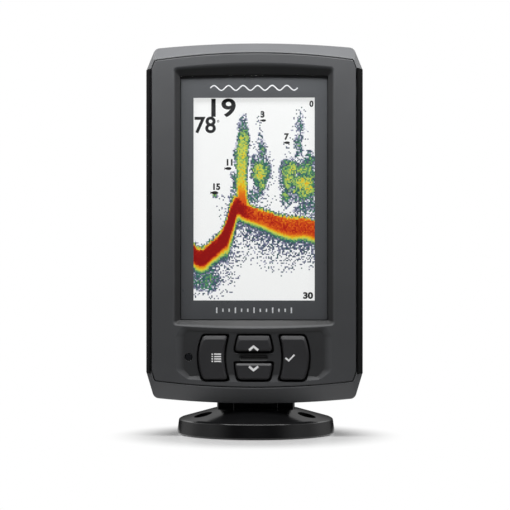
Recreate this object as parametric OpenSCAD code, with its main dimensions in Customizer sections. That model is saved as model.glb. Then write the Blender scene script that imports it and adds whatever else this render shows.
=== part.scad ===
// Portrait fish finder: a display head that tilts in a two-armed yoke, and the yoke turns on a round base.
// Frame: origin at the centre of the base's underside, +X to the viewer's right, +Y to the back, +Z up.
// Parts of the head are drawn in the head's own frame: y is the depth behind the front face and
// z is the height above the head's datum, just above its lowest edge. in_head() puts them in place.

/* [Head] */
// Width across the side grips
head_w = 99.5; // [99.4:0.1:99.5]
// Height of the head above its datum
head_h = 165; // [164.5:0.5:166]
// How far the housing reaches below the datum
chin = 0.6; // [0.4:0.1:0.8]
// Depth from the front face to the back face
head_d = 37; // [36.5:0.5:38]
// Gap between the mounting surface and the head's datum
head_lift = 15.8; // [15.6:0.1:16.4]
// How far the front face stands ahead of the swivel axis
face_reach = 27; // [26.5:0.5:27.5]
// Housing wall thickness
wall = 2.6; // [2.4:0.1:2.8]
// Thickness of the side grips
grip_t = 1.6; // [1.4:0.1:1.8]

/* [Display] */
// Visible picture width
view_w = 55.5; // [54:0.5:56]
// Visible picture height
view_h = 92.8; // [91:0.1:94]
// Window width
window_w = 67.4; // [67:0.1:67.8]
// Window height at its edges
window_h = 111.6; // [111:0.1:112]
// Depth of the window below the front face
window_depth = 2.8; // [2.6:0.1:3.0]

/* [Keys] */
// Gap between a key and the front plate
key_gap = 0.8; // [0.6:0.1:0.9]
// Key travel
key_travel = 1.2; // [0.8:0.1:1.2]
// Height of the key row
key_row_h = 20; // [19.6:0.1:20.2]

/* [Mount] */
// Diameter of the base
base_d = 74; // [73:0.5:76]
// Height of the base with its turntable
base_h = 11.6; // [11.4:0.1:11.8]
// Width of the screw pattern, side to side
screw_dx = 48; // [47:0.5:49]
// Depth of the screw pattern, front to back
screw_dy = 27; // [26:0.5:28]
// Screw hole diameter
screw_hole_d = 4.6; // [4:0.1:5]
// Thickness of each arm
arm_t = 8.1; // [7.8:0.1:8.4]
// Clear width between the arms
arm_gap = 19.9; // [19.5:0.1:20.3]
// Distance of the tilt axis behind the swivel axis
pivot_back = 20; // [19.5:0.5:20.5]
// Height of the tilt axis above the mounting surface
pivot_h = 50; // [49.5:0.5:50.5]
// Tilt bolt diameter
bolt_d = 5; // [4.8:0.1:5.2]

/* [Hidden] */
$fn = 64;

fit = 0.05;      // clearance of parts that sit still together
run = 0.08;      // clearance of parts that turn or slide
cut = 1;         // how far a cutting tool reaches past a face
hull_fn = 32;    // steps of the rounded outlines that are hulled

// Outlines of the head, each [half width, side z, corner x, corner z, crown z, corner radius],
// where a pair holds the lower and the upper value
body_line = [head_w / 2, [13.6, head_h - 12.3], [46.2, 45.6], [2.4 - chin, head_h - 2.2], [-chin, head_h], 3];
rim_line = [head_w / 2 - 2.8, [14.7, head_h - 12.4], [45.4, 45.4], [10.1, head_h - 8.3],
            [7.2, head_h - 5], 1];
back_line = [34, [68, head_h - 24.5], [30, 30], [61.2, head_h - 17.3], [59.2, head_h - 15.3], 4];
lip = 0.5;                  // the housing's edge around the front plate
shoulder_y = 7;             // depth at which the head is widest
flank_y = 18;               // depth at which the back starts to narrow
flank_draft = 0.8;
seat_y = 4.5;               // depth of the ledge that carries the front plate
plate_gap = 0.35;           // visible joint around the front plate

// Display stack, as depths behind the front face
window_z = 38;              // lower edge of the window
window_t = 1.6;
mask_t = 0.2;
glass_y = 6.2;
glass_t = 1.8;
backlight_t = 3.9;
lcd_z = [40, 144.6];
lcd_half_w = 33;
view_z = 46.9;              // lower edge of the picture
frame_t = 0.5;
board_y = 15.6;
board_t = 1.6;
board_z = [12, 152];
board_half_w = 35.5;

// Keys
key_mid_z = 20.9;
key_face_y = -0.5;          // the keys stand this much in front of the face
key_bevel = 1.1;            // how far a key's face stands in from its sides
pocket_y = 0.8;             // depth of the shallow pocket around the keys
key_flange_y = 4.7;
key_flange_t = 1;
plunger_end = 11.6;
centre_half_w = 8.6;        // half width of the two arrow keys at the middle of the row
outer_edge_x = 25.2;        // outer edge of the menu and check keys
inner_edge_x = 13.5;        // inner edge of the menu and check keys
side_bulge_r = 25;
waist_r = 32;
arrow_split = [-2.5, 2.9];  // top of the down key and bottom of the up key, from the row's middle
light_at = [-29.8, 21.1];

// Fasteners and sockets
well_x = 40.5;
well_zs = [18, 83, 148];
well_seat_y = 15;
board_screw_at = [[-31.5, 34.2], [31.5, 34.2], [-30, 150], [30, 150]];
board_screw_r = 1.25;
socket_x = 15;
socket_z = 84;
socket_r = 7.4;
socket_hole_r = 7;
back_y = head_d;

// Mount
base_r = base_d / 2;
turntable_r = 20;
turntable_z = base_h - 3;
floor_z = turntable_z - 3;
journal_r = 6;
journal_z = floor_z - 1;
stop_r = 15;
pad_t = 1.4;
arm_x0 = arm_gap / 2;
arm_x1 = arm_x0 + arm_t;
boss_r = 9;
hub_r = 9.5;
hub_half_w = arm_x0 - 1.1;
bolt_r = bolt_d / 2;
knob_r = 13.5;
knob_x0 = arm_x1 + 1.2;
knob_t = 13;

charcoal = [0.27, 0.27, 0.28];
black = [0.07, 0.07, 0.08];
steel = [0.72, 0.73, 0.75];
brass = [0.8, 0.65, 0.3];
board_green = [0.05, 0.35, 0.2];

// ---------- helpers ----------

module in_head() {
    translate([0, -face_reach, head_lift]) children();
}

// Extrudes an outline drawn in x and z between two depths
module slab(y0, y1) {
    translate([0, y1, 0]) rotate([90, 0, 0]) linear_extrude(y1 - y0) children();
}

// Extrudes an outline drawn in y and z between two x
module across(x0, x1) {
    translate([x0, 0, 0]) rotate([90, 0, 90]) linear_extrude(x1 - x0) children();
}

module rod_y(r, y0, y1, at = [0, 0]) {
    slab(y0, y1) translate(at) circle(r = r);
}

module tube_y(r, hole_r, y0, y1, at = [0, 0]) {
    slab(y0, y1) translate(at) difference() {
        circle(r = r);
        circle(r = hole_r);
    }
}

module rod_z(r, z0, z1) {
    translate([0, 0, z0]) cylinder(r = r, h = z1 - z0);
}

// An outline in x and z between two heights, symmetric about x = 0
module panel(half_w, z0, z1) {
    translate([-half_w, z0]) square([2 * half_w, z1 - z0]);
}

module at_pivot() {
    translate([pivot_back, pivot_h]) children();
}

module on_tilt_axis() {
    translate([0, pivot_back, pivot_h]) rotate([0, 90, 0]) children();
}

// Points of a shallow crown from x = edge to x = -edge
function crown(edge, z_edge, z_mid, n = 12) =
    [for (i = [0:n]) let (s = 1 - 2 * i / n) [edge * s, z_mid + (z_edge - z_mid) * s * s]];

function reversed(list) = [for (i = [len(list) - 1:-1:0]) list[i]];

module head_outline(line, inset = 0) {
    w = line[0];
    r = line[5];
    points = concat(
        crown(line[2][1], line[3][1], line[4][1]),
        [[-w, line[1][1]], [-w, line[1][0]]],
        reversed(crown(line[2][0], line[3][0], line[4][0])),
        [[w, line[1][0]], [w, line[1][1]]]
    );
    offset(delta = -inset) offset(r = r, $fn = hull_fn) offset(delta = -r) polygon(points);
}

// Where the line from p touches the circle of radius r about c, on the side given by 1 or -1
function touch(p, c, r, side) =
    let (d = p - c, angle = atan2(d[1], d[0]) + side * acos(r / norm(d)))
    c + r * [cos(angle), sin(angle)];

// ---------- head shells ----------

module thin_section(y, line, inset) {
    slab(y, y + 0.01) head_outline(line, inset);
}

module head_form(inset = 0) {
    hull() {
        thin_section(0.3, rim_line, inset - lip);
        thin_section(shoulder_y, body_line, inset);
        thin_section(flank_y, body_line, inset + flank_draft);
        thin_section(back_y - inset - 0.01, back_line, inset);
    }
}

module head_cavity() {
    hull() {
        thin_section(seat_y, rim_line, wall);
        thin_section(flank_y, body_line, flank_draft + grip_t + 1.8);
        thin_section(back_y - wall, back_line, wall);
    }
}

module grip_zone(clear) {
    for (side = [-1, 1]) {
        translate([side > 0 ? 40 : -60, 0, body_line[1][0] - clear])
            cube([20, flank_y + clear, body_line[1][1] - body_line[1][0] + 2 * clear]);
    }
}

module hub_2d() {
    pivot = [pivot_back + face_reach, pivot_h - head_lift];
    root_top = [face_reach - 1, pivot[1] + 20];
    root_low = [face_reach - 9, pivot[1] - 15];
    polygon([root_top, root_low, touch(root_low, pivot, hub_r, 1), pivot,
             touch(root_top, pivot, hub_r, -1)]);
    translate(pivot) circle(r = hub_r);
}

module wells(r, y0) {
    for (side = [-1, 1]) {
        for (z = well_zs) {
            rod_y(r, y0, back_y + cut, [side * well_x, z]);
        }
    }
}

module rear_housing() {
    color(charcoal) in_head() difference() {
        union() {
            difference() {
                union() {
                    head_form();
                    across(-hub_half_w, hub_half_w) hub_2d();
                }
                head_cavity();
            }
            intersection() {
                head_form();
                wells(4.2, well_seat_y - 2.4);
            }
        }
        slab(-cut, seat_y) head_outline(rim_line);
        slab(seat_y - cut, seat_y + 0.9) seal_ring();
        difference() {
            grip_zone(0.1);
            head_form(grip_t);
        }
        wells(3.1, well_seat_y);
        wells(1.6, well_seat_y - 3);
        for (side = [-1, 1]) {
            rod_y(socket_hole_r, back_y - wall - cut, back_y + cut, [side * socket_x, socket_z]);
        }
        translate([0, face_reach, -head_lift]) on_tilt_axis()
            cylinder(r = bolt_r + run, h = 4 * hub_half_w, center = true);
    }
}

// Gland and seal between the front plate and the housing's ledge
module seal_ring(clear = 0) {
    difference() {
        head_outline(rim_line, 0.5 + clear);
        head_outline(rim_line, 2 - clear);
    }
}

module housing_seal() {
    color(black) in_head() slab(seat_y + fit + 0.05, seat_y + 0.85) seal_ring(0.1);
}

module grip(side) {
    color(black) in_head() difference() {
        intersection() {
            head_form();
            grip_zone(0);
            translate([side > 0 ? 40 : -60, 0, 0]) cube([20, flank_y, head_h]);
        }
        head_form(grip_t - fit);
        slab(-cut, seat_y + cut) head_outline(rim_line, -fit);
    }
}

module pan_screw(r, head_r, head_t, length) {
    // Axis along y, the head's seat at y = 0, the shank towards the front
    rod_y(r, -length, 0.01);
    difference() {
        rod_y(head_r, 0, head_t);
        for (turn = [0, 90]) {
            rotate([0, turn, 0]) translate([-0.35, head_t - 0.8, -head_r * 0.6])
                cube([0.7, 1, head_r * 1.2]);
        }
    }
}

module housing_screws() {
    color(steel) in_head() for (side = [-1, 1]) {
        for (z = well_zs) {
            translate([side * well_x, well_seat_y + fit, z]) pan_screw(1.3, 2.7, 2, 9);
        }
    }
}

// ---------- front plate ----------

module window_recess() {
    // Sloped walls from the front face down to the window
    hull() {
        slab(-0.01, 0.01) polygon(concat(
            crown(36.7, 153.5, 155.4, 8),
            reversed(crown(35.2, 35.8, 34.4, 8))
        ));
        slab(window_depth - 0.02, window_depth) window_2d(0.2);
    }
}

module window_2d(grow = 0) {
    half = window_w / 2 + grow;
    polygon(concat(
        crown(half, window_z + window_h + grow, window_z + window_h + grow + 0.6, 8),
        [[-half, window_z - grow], [half, window_z - grow]]
    ));
}

module view_2d(grow = 0) {
    panel(view_w / 2 + grow, view_z - grow, view_z + view_h + grow);
}

module key_band_2d(z0, z1, grow) {
    panel(outer_edge_x + 2, key_mid_z + z0 - grow, key_mid_z + z1 + grow);
}

// Outer part of the menu key (side -1) or the check key (side 1), reaching in to the middle
module key_wing_2d(side, grow = 0) {
    intersection() {
        key_band_2d(-key_row_h / 2, key_row_h / 2, grow);
        translate([side * (outer_edge_x - side_bulge_r), key_mid_z]) circle(r = side_bulge_r + grow);
        translate([side > 0 ? 0 : -40, 0]) square([40, 40]);
    }
}

module side_key_2d(side, grow = 0) {
    difference() {
        key_wing_2d(side, grow);
        translate([side * (inner_edge_x - waist_r), key_mid_z]) circle(r = waist_r - grow);
    }
}

module arrow_key_2d(z0, z1, grow = 0) {
    intersection() {
        key_band_2d(z0, z1, grow);
        for_both_waists(grow);
    }
}

module for_both_waists(grow) {
    intersection() {
        translate([centre_half_w - waist_r, key_mid_z]) circle(r = waist_r + grow);
        translate([waist_r - centre_half_w, key_mid_z]) circle(r = waist_r + grow);
    }
}

module up_key_2d(grow = 0) {
    arrow_key_2d(arrow_split[1], key_row_h / 2, grow);
}

module down_key_2d(grow = 0) {
    arrow_key_2d(-key_row_h / 2, arrow_split[0], grow);
}

module all_keys_2d(grow) {
    side_key_2d(-1, grow);
    side_key_2d(1, grow);
    up_key_2d(grow);
    down_key_2d(grow);
}

module key_pocket_2d() {
    polygon(concat(
        crown(31, 33, 32, 8),
        [[-31, 11.8]],
        reversed(crown(28, 10.4, 9.5, 8)),
        [[31, 11.8]]
    ));
}

module front_bezel() {
    color(charcoal) in_head() difference() {
        union() {
            slab(0, seat_y) head_outline(rim_line, plate_gap);
            slab(seat_y - cut, glass_y - frame_t) panel(36.8, window_z - 3, window_z + window_h + 3);
            for (at = board_screw_at) {
                rod_y(3, seat_y - cut, board_y - fit, at);
            }
            for (side = [-1, 1]) {
                for (z = well_zs) {
                    rod_y(3, seat_y - cut, well_seat_y - 2.5, [side * well_x, z]);
                }
            }
        }
        window_recess();
        slab(-cut, window_depth + window_t + mask_t + 0.1) window_2d(0.2);
        slab(-cut, glass_y) view_2d(3);
        slab(-cut, pocket_y) key_pocket_2d();
        slab(-cut, seat_y + cut) all_keys_2d(key_gap);
        rod_y(1.6, -cut, seat_y + cut, light_at);
        for (at = board_screw_at) {
            rod_y(board_screw_r + fit, board_y - 6, board_y + cut, at);
        }
        for (side = [-1, 1]) {
            for (z = well_zs) {
                rod_y(1.3 + fit, well_seat_y - 10, well_seat_y, [side * well_x, z]);
            }
        }
    }
}

// ---------- display ----------

module display_window() {
    color([0.75, 0.8, 0.85, 0.35]) in_head()
        slab(window_depth, window_depth + window_t) window_2d();
}

module window_mask() {
    y = window_depth + window_t;
    color(charcoal) in_head() slab(y, y + mask_t) difference() {
        window_2d(-0.2);
        view_2d();
    }
}

module window_gasket() {
    color(black) in_head() slab(window_depth + window_t + mask_t + fit, glass_y - fit) difference() {
        view_2d(2.5);
        view_2d(0.6);
    }
}

module lcd_glass() {
    color([0.85, 0.9, 0.92]) in_head()
        slab(glass_y, glass_y + glass_t) panel(lcd_half_w, lcd_z[0], lcd_z[1]);
}

module lcd_backlight() {
    y = glass_y + glass_t + fit;
    color("white") in_head() slab(y, y + backlight_t) panel(lcd_half_w, lcd_z[0], lcd_z[1]);
}

module lcd_frame() {
    y1 = glass_y + glass_t + backlight_t + 2 * fit;
    color(steel) in_head() difference() {
        slab(glass_y - frame_t + fit, y1 + frame_t)
            panel(lcd_half_w + fit + frame_t, lcd_z[0] - fit - frame_t, lcd_z[1] + fit + frame_t);
        slab(glass_y - fit, y1) panel(lcd_half_w + fit, lcd_z[0] - fit, lcd_z[1] + fit);
        slab(0, glass_y) view_2d(3);
        // Mouth for the flex cable in the back wall
        slab(y1 - cut, y1 + cut) panel(12, lcd_z[0] + 4, lcd_z[0] + 8);
    }
}

// Ribbon from the display's back to the board's front
module lcd_flex() {
    y0 = glass_y + glass_t + backlight_t + 3 * fit;
    half_w = 10;
    ribbon_t = 0.3;
    z0 = lcd_z[0] + 4.5;
    color([0.75, 0.45, 0.1]) in_head() {
        slab(y0, board_y - 2.7) panel(half_w, z0, z0 + ribbon_t);
        across(-half_w, half_w) polygon([
            [board_y - 3, z0], [board_y - 2.7, z0], [board_y - 2.7, z0 + 16],
            [board_y - 3, z0 + 16]
        ]);
        slab(board_y - 3, board_y - fit) panel(half_w + 1, z0 + 12, z0 + 16);
    }
}

// ---------- electronics ----------

module main_board() {
    color(board_green) in_head() difference() {
        slab(board_y, board_y + board_t) panel(board_half_w, board_z[0], board_z[1]);
        for (at = board_screw_at) {
            rod_y(board_screw_r + run, board_y - cut, board_y + board_t + cut, at);
        }
    }
}

module board_part(x, z, w, h, t) {
    y = board_y + board_t + fit;
    slab(y, y + t) translate([x - w / 2, z - h / 2]) square([w, h]);
}

module board_chips() {
    color(black) in_head() {
        board_part(-12, 118, 16, 16, 1.4);
        board_part(14, 122, 10, 14, 1.2);
        board_part(14, 104, 9, 6, 1.6);
        board_part(-20, 66, 8, 8, 1.2);
        board_part(-2, 58, 12, 8, 1.4);
        board_part(-24, 46, 6, 6, 1.2);
    }
}

module board_capacitors() {
    y = board_y + board_t + fit;
    color([0.2, 0.25, 0.45]) in_head() for (spot = [[-27, 134, 5], [-27, 120, 5], [26, 88, 4], [26, 76, 4]]) {
        rod_y(spot[2], y, y + 1.8 * spot[2], [spot[0], spot[1]]);
    }
}

module sonar_transformer() {
    y = board_y + board_t + fit;
    color([0.55, 0.35, 0.15]) in_head() {
        board_part(22, 60, 14, 14, 2);
        rod_y(5.5, y + 1.9, y + 8, [22, 60]);
        slab(y + 8, y + 9.5) translate([15.5, 53.5]) square([13, 13]);
    }
}

module beeper() {
    y = board_y + board_t + fit;
    color(black) in_head() tube_y(6, 1, y, y + 4.5, [2, 138]);
}

module board_screws() {
    color(steel) in_head() for (at = board_screw_at) {
        translate([at[0], board_y + board_t + fit, at[1]]) pan_screw(board_screw_r, 2.6, 1.8, 7);
    }
}

// ---------- keys ----------

function key_spots() = [
    [-19, key_mid_z], [19, key_mid_z],
    [0, key_mid_z + (arrow_split[1] + key_row_h / 2) / 2],
    [0, key_mid_z + (arrow_split[0] - key_row_h / 2) / 2]
];

module key_switches() {
    color(steel) in_head() for (at = key_spots()) {
        rod_y(2.4, board_y - 0.8, board_y - fit, at);
    }
}

module keypad_membrane() {
    color([0.5, 0.5, 0.52]) in_head() difference() {
        union() {
            slab(board_y - 1.2, board_y - fit) panel(25, key_mid_z - 10, key_mid_z + 10);
            for (at = key_spots()) {
                rod_y(3.6, plunger_end + fit, board_y - 1, at);
            }
        }
        for (at = key_spots()) {
            rod_y(2.7, plunger_end + 1.4, board_y, at);
        }
    }
}

// The part of a key that stands in front of the plate, with leaning sides
module key_cap() {
    hull() {
        slab(key_face_y, key_face_y + 0.01) offset(delta = -key_bevel) children();
        slab(pocket_y, pocket_y + 0.01) children();
    }
}

// The part behind: a guide through the plate, a flange that holds the key in and a plunger
module key_stem(at) {
    slab(pocket_y, key_flange_y + fit) children();
    slab(key_flange_y, key_flange_y + key_flange_t) intersection() {
        offset(delta = key_gap + 0.5) children();
        head_outline(rim_line, wall + 0.3);
    }
    rod_y(2, key_flange_y + 0.5, plunger_end, at);
}

module side_key(side) {
    cap_t = pocket_y - key_face_y;
    lean = key_bevel / cap_t;
    key_stem(key_spots()[side < 0 ? 0 : 1]) side_key_2d(side);
    difference() {
        key_cap() key_wing_2d(side, $fn = hull_fn);
        // The inner side is hollow, so it follows the bulge of the arrow keys
        translate([side * (inner_edge_x - waist_r), key_face_y - cut, key_mid_z]) rotate([-90, 0, 0])
            cylinder(r1 = waist_r + lean * (cap_t + cut), r2 = waist_r - lean * cut, h = cap_t + 2 * cut);
    }
}

module button_menu() {
    color(black) in_head() side_key(-1);
}

module button_check() {
    color(black) in_head() side_key(1);
}

module button_up() {
    color(black) in_head() {
        key_cap() up_key_2d($fn = hull_fn);
        key_stem(key_spots()[2]) up_key_2d();
    }
}

module button_down() {
    color(black) in_head() {
        key_cap() down_key_2d($fn = hull_fn);
        key_stem(key_spots()[3]) down_key_2d();
    }
}

module status_light() {
    color([0.3, 0.32, 0.33]) in_head() {
        rod_y(1.5, 0.9, 12, light_at);
        rod_y(2.4, 12, board_y - fit, light_at);
    }
}

// ---------- rear sockets ----------

module socket(side) {
    at = [side * socket_x, socket_z];
    color(black) in_head() difference() {
        union() {
            rod_y(socket_hole_r - run, back_y - 12, back_y + 1, at);
            rod_y(9.4, back_y + 0.8, back_y + 2.6, at);
            rod_y(socket_r, back_y + 2.5, back_y + 9, at);
        }
        rod_y(5.6, back_y + 1.5, back_y + 10, at);
        slab(back_y + 2.6, back_y + 10) translate([at[0] - 1, at[1] + 5]) square([2, 1.6]);
        for (pin = pin_spots(side)) {
            rod_y(0.7, back_y - 13, back_y + 2, at + pin);
        }
    }
}

// The power socket on side -1 has three pins and the sonar socket on side 1 has five
function pin_spots(side) = let (count = side > 0 ? 5 : 3)
    [for (i = [0:count - 1]) 3.2 * [sin(360 * i / count), cos(360 * i / count)]];

module power_socket() {
    socket(-1);
}

module sonar_socket() {
    socket(1);
}

module socket_pins() {
    color(brass) in_head() for (side = [-1, 1]) {
        for (pin = pin_spots(side)) {
            rod_y(0.7 - fit, back_y - 14, back_y + 7, [side * socket_x, socket_z] + pin);
        }
    }
}

module socket_nuts() {
    color(steel) in_head() for (side = [-1, 1]) {
        slab(back_y - wall - 3.1, back_y - wall - fit) translate([side * socket_x, socket_z]) difference() {
            circle(r = 9.4, $fn = 6);
            circle(r = socket_hole_r);
        }
    }
}

module socket_seals() {
    color([0.35, 0.12, 0.1]) in_head() for (side = [-1, 1]) {
        tube_y(9, socket_hole_r, back_y + fit, back_y + 0.8 - fit, [side * socket_x, socket_z]);
    }
}

// ---------- base and yoke ----------

module at_base_screws() {
    for (x = [-1, 1]) {
        for (y = [-1, 1]) {
            translate([x * screw_dx / 2, y * screw_dy / 2, 0]) children();
        }
    }
}

module mount_base() {
    rim_z = 0.5;
    crease_z = 7.5;
    color(black) difference() {
        union() {
            rotate_extrude() polygon([
                [turntable_r + 0.2, floor_z], [turntable_r + 0.2, base_h], [base_r - 1.9, crease_z],
                [base_r - 1.3, crease_z - 0.25], [base_r - 1, crease_z - 0.8], [base_r, rim_z],
                [base_r - 1.9, rim_z], [base_r - 1.9, pad_t + fit], [base_r - 3.6, pad_t + fit],
                [base_r - 4.2, crease_z - 3]
            ]);
            rod_z(turntable_r + 1, floor_z, turntable_z - fit);
            for (turn = [0:45:135]) {
                rotate([0, 0, turn]) translate([-(base_r - 4), -0.9, pad_t + fit])
                    cube([2 * (base_r - 4), 1.8, floor_z - pad_t]);
            }
            intersection() {
                at_base_screws() rod_z(6.2, pad_t + fit, base_h);
                rotate_extrude() polygon([
                    [0, 0], [base_r - 2, 0], [base_r - 2, crease_z], [turntable_r + 0.2, base_h], [0, base_h]
                ]);
            }
        }
        // Room for the swivel hardware, the turntable, its journal and its stop
        rod_z(11, 0, floor_z);
        rod_z(turntable_r + 0.15, turntable_z - fit, base_h + cut);
        rod_z(journal_r + run, 0, base_h);
        stop_groove();
        at_base_screws() {
            rod_z(screw_hole_d / 2, 0, base_h);
            rod_z(4.2, crease_z - 1.5, base_h);
        }
    }
}

// Half-ring groove that lets the yoke's stop travel 90 degrees each way
module stop_groove() {
    groove_r = 1.6;
    translate([0, 0, turntable_z - 1.9]) {
        rotate_extrude(angle = 180) translate([stop_r - groove_r, 0]) square([2 * groove_r, 3]);
        for (side = [-1, 1]) {
            translate([side * stop_r, 0, 0]) cylinder(r = groove_r, h = 3);
        }
    }
}

module base_pad() {
    color([0.12, 0.12, 0.12]) difference() {
        rod_z(base_r - 2, 0, pad_t);
        rod_z(12, -cut, pad_t + cut);
        at_base_screws() rod_z(screw_hole_d / 2 + 0.3, -cut, pad_t + cut);
    }
}

// Side view of one arm, from the turntable up to the tilt axis
module arm_2d() {
    pivot = [pivot_back, pivot_h];
    front = [-6, base_h - 0.5];
    rear = [8, base_h - 0.5];
    polygon([front, rear, touch(rear, pivot, boss_r, 1), pivot, touch(front, pivot, boss_r, -1)]);
    translate(pivot) circle(r = boss_r);
}

module swivel_yoke() {
    color(black) difference() {
        union() {
            rod_z(turntable_r, turntable_z, base_h);
            rod_z(journal_r, journal_z, turntable_z + 0.5);
            translate([0, stop_r, turntable_z - 1.7]) cylinder(r = 1.5, h = 2);
            for (side = [-1, 1]) {
                across(side > 0 ? arm_x0 : -arm_x1, side > 0 ? arm_x1 : -arm_x0) arm_2d();
            }
            // Web that ties the arms together behind the head
            across(-arm_x0 - 0.5, arm_x0 + 0.5) polygon([
                [5, base_h - 0.5], [9, base_h - 0.5], [15, 29], [11.5, 29]
            ]);
        }
        rod_z(3.8, journal_z - cut, base_h - 1.2);
        on_tilt_axis() cylinder(r = bolt_r + run, h = 4 * arm_x1, center = true);
        // Hexagonal pocket that holds the bolt's head
        translate([-arm_x1 - cut, 0, 0]) on_tilt_axis() cylinder(r = 4.7, h = 2.2 + cut, $fn = 6);
    }
}

module swivel_insert() {
    color(brass) difference() {
        rod_z(3.8 - fit, journal_z, base_h - 1.4);
        rod_z(2.5, journal_z - cut, base_h);
    }
}

module swivel_washer() {
    color(steel) difference() {
        rod_z(9.2, journal_z - 1.05, journal_z - fit);
        rod_z(2.7, journal_z - 2, journal_z);
    }
}

module swivel_spring() {
    // Dished spring ring between the base's floor and the washer
    color(steel) rotate_extrude() polygon([
        [journal_r + 0.3, journal_z + 0.05], [8.9, journal_z + 0.45], [8.9, journal_z + 0.95],
        [journal_r + 0.3, journal_z + 0.55]
    ]);
}

module swivel_screw() {
    head_z = journal_z - 1.1;
    color(steel) difference() {
        union() {
            rod_z(4.4, head_z - 1.9, head_z);
            rod_z(2.5 - fit, head_z - 0.5, base_h - 2);
        }
        translate([0, 0, head_z - 2.4]) cylinder(r = 2, h = 1.6, $fn = 6);
    }
}

module tilt_bolt() {
    head_x = -arm_x1 + 2.2 - fit;
    color(steel) union() {
        translate([head_x - 3.2, 0, 0]) on_tilt_axis() cylinder(r = 4.6, h = 3.2, $fn = 6);
        translate([head_x - 0.5, 0, 0]) on_tilt_axis() cylinder(r = bolt_r, h = knob_x0 + 9 - head_x);
    }
}

module friction_washers() {
    color([0.3, 0.3, 0.3]) for (side = [-1, 1]) {
        translate([side * (arm_x0 - 0.55), 0, 0]) on_tilt_axis() difference() {
            cylinder(r = boss_r - 0.6, h = 0.9, center = true);
            cylinder(r = bolt_r + run, h = 2, center = true);
        }
    }
}

module knob_washer() {
    color(steel) translate([arm_x1 + fit, 0, 0]) on_tilt_axis() difference() {
        cylinder(r = 6.5, h = 1);
        translate([0, 0, -cut]) cylinder(r = bolt_r + run, h = 3);
    }
}

module tilt_knob() {
    lobes = 8;
    color(black) translate([knob_x0, 0, 0]) on_tilt_axis() difference() {
        union() {
            cylinder(r = knob_r, h = knob_t - 1.5);
            translate([0, 0, knob_t - 1.51]) cylinder(r1 = knob_r, r2 = knob_r - 1.5, h = 1.51);
        }
        for (i = [0:lobes - 1]) {
            rotate(360 * (i + 0.5) / lobes) translate([knob_r + 1.9, 0, 1.5]) cylinder(r = 3.4, h = knob_t);
        }
        translate([0, 0, -cut]) cylinder(r = 4.5, h = 10 + cut);
        translate([0, 0, knob_t - 1]) cylinder(r = 8, h = 2);
    }
}

module knob_insert() {
    color(brass) translate([knob_x0 + 0.2, 0, 0]) on_tilt_axis() difference() {
        cylinder(r = 4.5 - fit, h = 9.5);
        translate([0, 0, -cut]) cylinder(r = bolt_r + fit, h = 12);
    }
}

mount_base();
base_pad();
swivel_yoke();
swivel_insert();
swivel_screw();
swivel_washer();
swivel_spring();
tilt_bolt();
friction_washers();
knob_washer();
tilt_knob();
knob_insert();
rear_housing();
housing_seal();
housing_screws();
grip(-1);  // grip_left
grip(1);  // grip_right
front_bezel();
display_window();
window_mask();
window_gasket();
lcd_glass();
lcd_backlight();
lcd_frame();
lcd_flex();
main_board();
board_chips();
board_capacitors();
sonar_transformer();
beeper();
board_screws();
key_switches();
keypad_membrane();
button_menu();
button_up();
button_down();
button_check();
status_light();
power_socket();
sonar_socket();
socket_nuts();
socket_seals();
socket_pins();
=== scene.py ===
"""The looks of a portrait fish finder: shells, keys, base, materials, light and camera."""

import math
from functools import partialmethod

import bmesh
import bpy
from mathutils import Matrix, Vector


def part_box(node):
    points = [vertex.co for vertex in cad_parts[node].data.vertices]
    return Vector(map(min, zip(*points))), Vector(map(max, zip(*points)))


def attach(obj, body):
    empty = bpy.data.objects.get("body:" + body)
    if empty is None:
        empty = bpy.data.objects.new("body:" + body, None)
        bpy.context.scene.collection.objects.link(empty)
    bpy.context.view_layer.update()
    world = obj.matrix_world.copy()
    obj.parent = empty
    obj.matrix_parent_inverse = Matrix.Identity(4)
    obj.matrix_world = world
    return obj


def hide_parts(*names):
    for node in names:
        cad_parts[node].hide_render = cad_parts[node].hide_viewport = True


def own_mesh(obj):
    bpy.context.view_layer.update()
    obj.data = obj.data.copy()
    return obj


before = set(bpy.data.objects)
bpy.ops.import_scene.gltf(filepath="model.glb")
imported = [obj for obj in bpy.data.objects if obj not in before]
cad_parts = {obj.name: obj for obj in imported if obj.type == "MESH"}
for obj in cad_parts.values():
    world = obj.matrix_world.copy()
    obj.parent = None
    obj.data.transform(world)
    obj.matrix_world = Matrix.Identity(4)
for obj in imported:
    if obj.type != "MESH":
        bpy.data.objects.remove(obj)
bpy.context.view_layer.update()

MM = 0.001

# ---------- places read from the frame ----------
# Pieces of the head are drawn in the head's own millimetres, as the CAD is: x to the right,
# z above the head's datum, and depth behind the front plate's face.

CHIN = 0.6                # how far the housing reaches below the datum
SHELL_LOW, SHELL_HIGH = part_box("rear_housing")
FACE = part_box("front_bezel")[0].y
LIFT = SHELL_LOW.z + CHIN * MM
HALF_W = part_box("grip_right")[1].x / MM
HEAD_H = (SHELL_HIGH.z - LIFT) / MM


def in_head(x, z, depth):
    """A point of the head, in metres in the row frame."""
    return Vector((x * MM, FACE + depth * MM, LIFT + z * MM))


def across(y, z, x):
    """A point of an outline in y and z that is swept along x."""
    return Vector((x * MM, y * MM, z * MM))


def upright(x, y, z):
    """A point of an outline in x and y that is swept along z."""
    return Vector((x * MM, y * MM, z * MM))


def on_flank(x, depth, z):
    """A point of an outline in x and depth that is swept up the head."""
    return in_head(x, z, depth)


def along_x(depth, z, x):
    """A point of an outline in depth and z that is swept across the head."""
    return in_head(x, z, depth)


def head_box(node):
    """Low and high corner of a node in head millimetres, each as (x, z, depth)."""
    return [(p.x / MM, (p.z - LIFT) / MM, (p.y - FACE) / MM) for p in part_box(node)]


def middle_of(node):
    """The middle of a node as seen from the front, as (x, z) in head millimetres."""
    low, high = head_box(node)
    return (low[0] + high[0]) / 2, (low[1] + high[1]) / 2


# ---------- outlines ----------

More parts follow.
